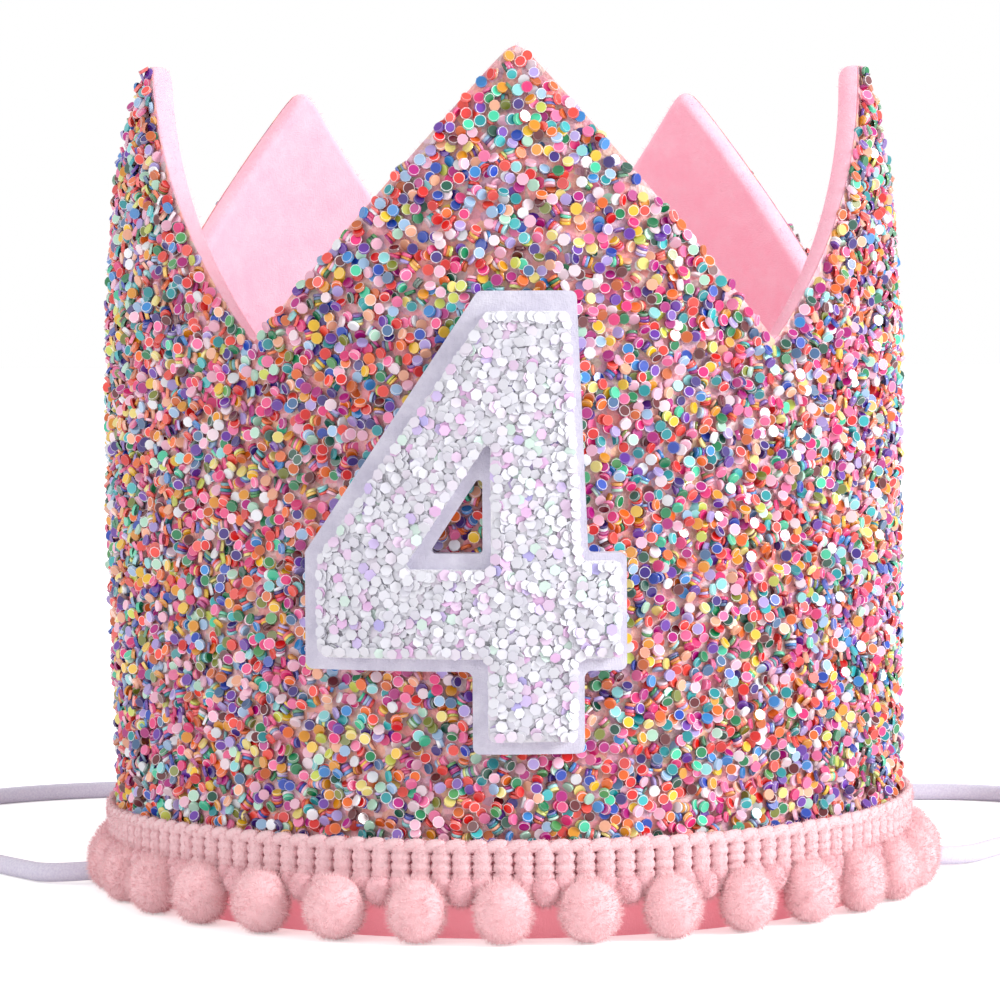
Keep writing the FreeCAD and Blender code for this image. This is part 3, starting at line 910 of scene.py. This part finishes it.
def round_profile(bottom, belly_radius, belly_height, top_radius, top_height, steps=6):
    """A drop's profile: a round underside up to the belly, then a soft shoulder to the top."""
    profile = []
    for step in range(steps + 1):
        turn = math.pi / 2 * (step + 0.35) / (steps + 0.35)
        profile.append((
            belly_radius * math.sin(turn),
            belly_height - (belly_height - bottom) * math.cos(turn),
        ))
    for step in range(1, steps + 1):
        turn = math.pi / 2 * step / steps
        profile.append((
            top_radius + (belly_radius - top_radius) * math.cos(turn),
            belly_height + (top_height - belly_height) * math.sin(turn),
        ))
    return profile


def add_tuft(fluff, profile, axis_radius, angle, fibre_count, fibre_length, width, lumps, flatness=1.0):
    """A soft tuft that hangs at an angle round the crown, with fibres all over its outer side."""
    corners, faces = turned_body(profile, 14)
    middle = np.array([0.0, pressed_in(angle, 0.0) - axis_radius, 0.0])
    swell = 1 + lumps * rng.normal(size=len(corners))
    corners[:, :2] *= swell[:, None]
    corners[:, 1] *= flatness
    fluff.add(turn_about_axis(corners + middle, angle), faces, 0.45, 0.75)
    points, normals = turned_samples(profile, fibre_count)
    outer = normals[:, 1] < 0.75
    points = points[outer]
    normals = normals[outer]
    directions = normals + rng.normal(0, 0.42, normals.shape)
    lengths = fibre_length * rng.uniform(0.55, 1.15, len(points))
    roots = points - 0.15 * normals
    roots[:, 1] *= flatness
    # Painted shade: fibres that face in towards the crown's wall get a low open number and so a darker
    # colour
    openness = np.clip(0.55 - 0.45 * normals[:, 1], 0, 1)
    roots = turn_about_axis(roots + middle, angle)
    fluff.add_fibres(roots, turn_about_axis(directions, angle), lengths, width, openness)


def make_pompoms(material):
    """Each pompom is a pear-shaped tuft of fine yarn that stands on the floor."""
    for number in range(POMPOM_COUNT):
        fluff = Fluff()
        belly = POMPOM_RADIUS * rng.uniform(0.95, 1.05)
        angle = POMPOM_PHASE + number * POMPOM_PITCH
        drop = fringe_drop(angle)
        profile = round_profile(0.2, belly, 4.0 - 0.5 * drop, 0.5, 8.0 - 0.8 * drop, 7)
        forward = (POMPOM_AXIS_FRONT - POMPOM_AXIS) * max(math.cos(angle), 0.0)
        axis = POMPOM_AXIS + forward - POMPOM_TUCK * drop
        add_tuft(fluff, profile, axis, angle, POMPOM_FIBRES, 0.95, FIBRE_WIDTH, 0.015, POMPOM_FLATNESS)
        name = f"pompom_{number + 1:02d}"
        fluff.finish(f"{name}_tuft", material, name)


def fringe_drop(angle):
    """How far the fringe sags: it hangs a little lower on the crown's left side."""
    off = (angle + math.pi) % (2 * math.pi) - math.pi - FRINGE_SAG_ANGLE
    return FRINGE_SAG * math.exp(-((off / FRINGE_SAG_SPREAD) ** 2))


def add_fuzz(fluff, angle, roots, normals, spread, opens):
    """Short fibres on the header's yarn, built at the front and turned to an angle."""
    directions = normals + rng.normal(0, spread, normals.shape)
    lengths = rng.uniform(0.28, 0.6, len(roots))
    roots = turn_about_axis(roots, angle)
    fluff.add_fibres(roots, turn_about_axis(directions, angle), lengths, FIBRE_WIDTH, opens)


def add_rib(fluff, angle):
    """One upright chenille rib of the header: a soft column with rings."""
    rings = 5
    levels = 21
    segments = 10
    half_width = 0.53 * RIB_PITCH * COVER_RADIUS
    depth = 0.95
    low_end = HEADER_BOTTOM - 1.3
    height = HEADER_TOP - 0.5 - low_end
    turns = np.arange(segments) * 2 * math.pi / segments
    middle = COVER_RADIUS - pressed_in(angle, HEADER_BOTTOM) + 0.45
    corners = []
    opens = []
    phase = rng.uniform(-0.06, 0.06)
    slant = rng.uniform(-0.12, 0.12)
    for level in range(levels):
        share = level / (levels - 1)
        ring = abs(math.sin(math.pi * (share * rings + phase))) ** 0.6
        swell = 0.78 + 0.22 * ring
        across = half_width * swell * np.cos(turns) * rng.uniform(0.97, 1.03)
        out = depth * swell * np.sin(turns) * rng.uniform(0.97, 1.03)
        rise = low_end + height * share + slant * across - fringe_drop(angle)
        corners.append(np.stack([across, -(middle + out), rise], axis=1))
        # Painted shade: the rib's inner side and the grooves between its rings get low open numbers and so
        # a darker colour
        opens.append(np.clip(0.25 + 0.75 * np.sin(turns), 0, 1) * (0.55 + 0.45 * ring))
    corners = np.concatenate(corners)
    opens = np.concatenate(opens)
    fluff.add(turn_about_axis(corners, angle), tube_faces(levels, segments, flipped=True), 0.8, opens)
    outer = np.flatnonzero(np.tile(np.sin(turns) > 0.1, levels))
    picked = rng.choice(outer, RIB_FIBRES)
    normals = np.stack([np.cos(turns), -np.sin(turns), np.zeros(segments)], axis=1)[picked % segments]
    roots = corners[picked] + rng.uniform(-0.14, 0.14, (len(picked), 3)) - 0.05 * normals
    add_fuzz(fluff, angle, roots, normals, 0.55, np.clip(opens[picked] + 0.15, 0, 1))


def add_loop(fluff, angle):
    """One slanting lobe of the twisted cord along the header's top edge."""
    segments = 10
    levels = 9
    half_length = 1.95
    half_width = 0.78
    slant = math.radians(rng.uniform(13, 20))
    turns = np.arange(segments) * 2 * math.pi / segments
    reach = COVER_RADIUS - pressed_in(angle, HEADER_TOP) + 0.7
    middle = np.array([0.0, -reach, HEADER_TOP - 0.75 - fringe_drop(angle)])
    corners = []
    for level in range(levels):
        share = -math.cos(math.pi * (level + 0.25) / (levels - 0.5))
        size = half_width * math.sqrt(max(1 - share**2, 0.0))
        along = np.full(segments, half_length * share)
        rise = size * np.cos(turns)
        out = 0.85 * size * np.sin(turns) + 0.2 * share
        corners.append(middle + np.stack([
            along * math.cos(slant) - rise * math.sin(slant),
            -out,
            along * math.sin(slant) + rise * math.cos(slant),
        ], axis=1))
    corners = np.concatenate(corners)
    fluff.add(turn_about_axis(corners, angle), tube_faces(levels, segments), 0.85, 1.0)
    picked = rng.integers(0, len(corners), LOOP_FIBRES)
    normals = corners[picked] - middle
    normals[:, 0] *= 0.3
    normals /= np.linalg.norm(normals, axis=1)[:, None]
    add_fuzz(fluff, angle, corners[picked] - 0.05 * normals, normals, 0.5, np.full(len(picked), 1.0))


def make_header(material):
    """The ribbed header with its twisted top edge."""
    fluff = Fluff()
    inner = GROUND_RADIUS - 0.1
    outer = COVER_RADIUS + 0.35
    low = HEADER_BOTTOM - 0.9
    high = HEADER_TOP - 0.9
    backing, faces = turned_body([(inner, low), (outer, low), (outer, high), (inner, high)], RIB_COUNT)
    for corner in backing:
        angle = math.atan2(corner[0], -corner[1])
        corner[:2] *= 1 - pressed_in(angle, HEADER_BOTTOM) / COVER_RADIUS
        corner[2] -= fringe_drop(angle)
    # The backing behind the ribs gets a low open number and a low tip number: painted deep shade
    fluff.add(backing, faces[:-2], 0.2, 0.1)
    for rib in range(RIB_COUNT):
        add_rib(fluff, POMPOM_PHASE + rib * RIB_PITCH)
        add_loop(fluff, POMPOM_PHASE + (rib + 0.5) * RIB_PITCH)
    fluff.finish("header_yarn", material, "trim_header")


def make_buds(material):
    """The buds between the pompoms, each with a short stub of yarn at its sides."""
    fluff = Fluff()
    lumps = 0.05
    for pompom in range(POMPOM_COUNT):
        angle = POMPOM_PHASE + (pompom + 0.5) * POMPOM_PITCH
        drop = 0.6 * fringe_drop(angle)
        bud = round_profile(4.4 - drop, 1.95, 6.0 - drop, 0.7, 7.9 - drop, 4)
        add_tuft(fluff, bud, BUD_AXIS, angle, BUD_FIBRES, 0.95, TUFT_FIBRE_WIDTH, lumps)
        stub = round_profile(5.2 - drop, 1.3, 6.4 - drop, 0.6, 7.9 - drop, 4)
        for side in (-1, 1):
            beside = angle + side * 0.85 * RIB_PITCH
            add_tuft(fluff, stub, STUB_AXIS, beside, STUB_FIBRES, 0.8, TUFT_FIBRE_WIDTH, lumps)
    fluff.finish("bud_yarn", material, "trim_header")


def make_felt_fuzz(material):
    """Loose fibres that stand up from the felt's cut edge along the peaks."""
    fluff = Fluff()
    angle = rng.uniform(-math.pi, math.pi, FUZZ_FIBRES)
    step = 0.002
    slope = (rim_height(angle + step) - rim_height(angle - step)) / (2 * step * COVER_RADIUS)
    inset = rng.uniform(0, FELT_EDGE_THICKNESS - 0.2, FUZZ_FIBRES)
    places, axes = wall_frames(angle * GROUND_RADIUS, rim_height(angle), GROUND_RADIUS)
    roots = places - axes[:, 2] * inset[:, None]
    normal = axes[:, 1] - axes[:, 0] * slope[:, None]
    normal /= np.linalg.norm(normal, axis=1)[:, None]
    directions = normal + rng.normal(0, 0.6, normal.shape)
    lengths = rng.uniform(0.25, 0.8, FUZZ_FIBRES)
    fluff.add_fibres(roots - 0.1 * normal, directions, lengths, 0.06, np.full(FUZZ_FIBRES, 1.0))
    make_object("felt_fuzz", fluff.corners, fluff.faces, material)


def make_elastic(material):
    """The elastic's loop as one smooth curve through the part's own route."""
    left = [around(radius, LEFT_EXIT_ANGLE, height) for radius, height in ELASTIC_ENDS]
    right = [around(radius, RIGHT_EXIT_ANGLE, height) for radius, height in reversed(ELASTIC_ENDS)]
    route = left + [(x, y, ELASTIC_DIAMETER / 2) for x, y in ELASTIC_FLOOR_POINTS] + right
    curve = bpy.data.curves.new("elastic_loop", "CURVE")
    curve.dimensions = "3D"
    spline = curve.splines.new("NURBS")
    spline.points.add(len(route) - 1)
    for point, place in zip(spline.points, route):
        point.co = (*(part * MM for part in place), 1.0)
    spline.order_u = 3
    spline.use_endpoint_u = True
    spline.resolution_u = 10
    curve.bevel_depth = ELASTIC_DIAMETER / 2 * MM
    curve.bevel_resolution = 5
    curve.use_fill_caps = True
    curve.materials.append(material)
    loop = place_piece("elastic_loop", curve, "elastic_cord")


# Stage


def make_camera():
    """The photograph's view: almost level, from a hair left of the front."""
    camera = bpy.data.objects.new("camera", bpy.data.cameras.new("camera"))
    camera.data.lens = CAMERA_LENS
    camera.data.sensor_width = CAMERA_SENSOR
    place = Matrix.Translation(Vector(around(CAMERA_DISTANCE, CAMERA_AZIMUTH, CAMERA_HEIGHT)) * MM)
    heading = Matrix.Rotation(CAMERA_AZIMUTH - CAMERA_YAW, 4, "Z")
    pitch = Matrix.Rotation(math.pi / 2 - CAMERA_PITCH, 4, "X")
    roll = Matrix.Rotation(CAMERA_ROLL, 4, "Z")
    camera.matrix_world = place @ heading @ pitch @ roll
    bpy.context.scene.collection.objects.link(camera)
    bpy.context.scene.camera = camera


def seen_directly(made):
    """1 for rays from the camera, and for what gloss and clear stuff show of them; 0 for light."""
    path = add_node(made, "ShaderNodeLightPath")
    total = path.outputs["Is Camera Ray"]
    for name in ("Is Glossy Ray", "Is Transmission Ray"):
        either = add_node(made, "ShaderNodeMath", operation="MAXIMUM")
        link(made, total, either.inputs[0])
        link(made, path.outputs[name], either.inputs[1])
        total = either.outputs[0]
    return total


def make_world(level):
    """White round about, which lights the crown at a level and shows as plain white."""
    world = bpy.data.worlds.new("studio")
    world.use_nodes = True
    background = world.node_tree.nodes["Background"]
    background.inputs["Color"].default_value = (1.0, 1.0, 1.0, 1.0)
    strength = add_node(world, "ShaderNodeMapRange", {"To Min": level, "To Max": 1.0})
    link(world, seen_directly(world), strength.inputs["Value"])
    link(world, strength.outputs["Result"], background.inputs["Strength"])
    bpy.context.scene.world = world


def make_floor(glow):
    """A wide pale floor. A little glow that only the camera sees lets its open part turn white."""
    made, shader = new_material("floor", Base_Color=srgb("F4F1F2"), Roughness=0.9, Specular_IOR_Level=0.1)
    shader.inputs["Emission Color"].default_value = (1.0, 1.0, 1.0, 1.0)
    strength = add_scaled(made, seen_directly(made), glow)
    link(made, strength, shader.inputs["Emission Strength"])
    mesh = bpy.data.meshes.new("floor")
    half = 6.0
    corners = [(-half, -half, 0), (half, -half, 0), (half, half, 0), (-half, half, 0)]
    mesh.from_pydata(corners, [], [[0, 1, 2, 3]])
    mesh.materials.append(made)
    floor = bpy.data.objects.new("floor", mesh)
    bpy.context.scene.collection.objects.link(floor)


def make_lamp(name, place, size, share):
    """A square soft lamp that faces the crown; share is how much of full light it gives there."""
    lamp = bpy.data.lights.new(name, "AREA")
    lamp.size = size
    distance = Vector(place).length
    lamp.energy = share * math.pi**2 * distance**2
    made = bpy.data.objects.new(name, lamp)
    made.location = place
    aim = Vector((0, 0, 0.05)) - Vector(place)
    made.rotation_euler = aim.to_track_quat("-Z", "Y").to_euler()
    bpy.context.scene.collection.objects.link(made)


def make_stage():
    """Camera, white surroundings, floor and three soft lamps."""
    make_camera()
    make_world(level=0.75)
    make_floor(glow=0.5)
    make_lamp("key", place=(1.25, -0.55, 0.6), size=0.5, share=0.92)
    make_lamp("fill", place=(-0.9, -0.7, 0.5), size=0.8, share=0.25)
    make_lamp("back", place=(0.2, 0.9, 0.9), size=0.8, share=0.15)
    bpy.context.scene.view_settings.view_transform = "Standard"


def make_walls():
    """The felt, and the fabric under the discs."""
    # The felt's foot colour is painted shade, tinted pink by light bounced off the yarn
    pink = felt_material("pink_felt", "FFB9CD", "FFC0D2", "FFC8D8", foot="FFB4BC")
    outer = GROUND_RADIUS - GROUND_THICKNESS
    thickness = FELT_THICKNESS - (FELT_RADIUS - outer)
    wall_shell(
        "felt_wall", outer, thickness, FELT_EDGE_THICKNESS, 0.0, FELT_ROUNDINGS,
        pink, "felt_lining",
    )
    wall_shell(
        "confetti_ground", GROUND_RADIUS, GROUND_THICKNESS, GROUND_THICKNESS, HEADER_BOTTOM,
        GROUND_ROUNDINGS, cover_material(), "glitter_cover",
    )


def main():
    make_stage()
    elastic = elastic_material()
    make_elastic(elastic)
    for node in ("knot_left", "knot_right"):
        dress_node(node, elastic)
    make_walls()
    make_numeral_base(felt_material("lilac_felt", "BBB7CA", "C8C4D5", "D4D1DF"))
    dress_node("numeral_face", flake_ground_material())
    make_confetti(confetti_material())
    make_flakes(flake_material())
    # The header's and buds' yarn is a darker copy of the fringe's yarn: painted shade for the ribbed header
    header_yarn = yarn_material("header_yarn", "F4AEB8", "F8D3D7", "D07E90", grain=0.2)
    make_header(header_yarn)
    make_buds(header_yarn)
    make_pompoms(yarn_material("fringe_yarn", "F9BAC2", "FFE0E2", "E090A0"))
    make_felt_fuzz(felt_material("felt_fibres", "FFC2D8", "FFCDE0", "FFD8E6"))


main()
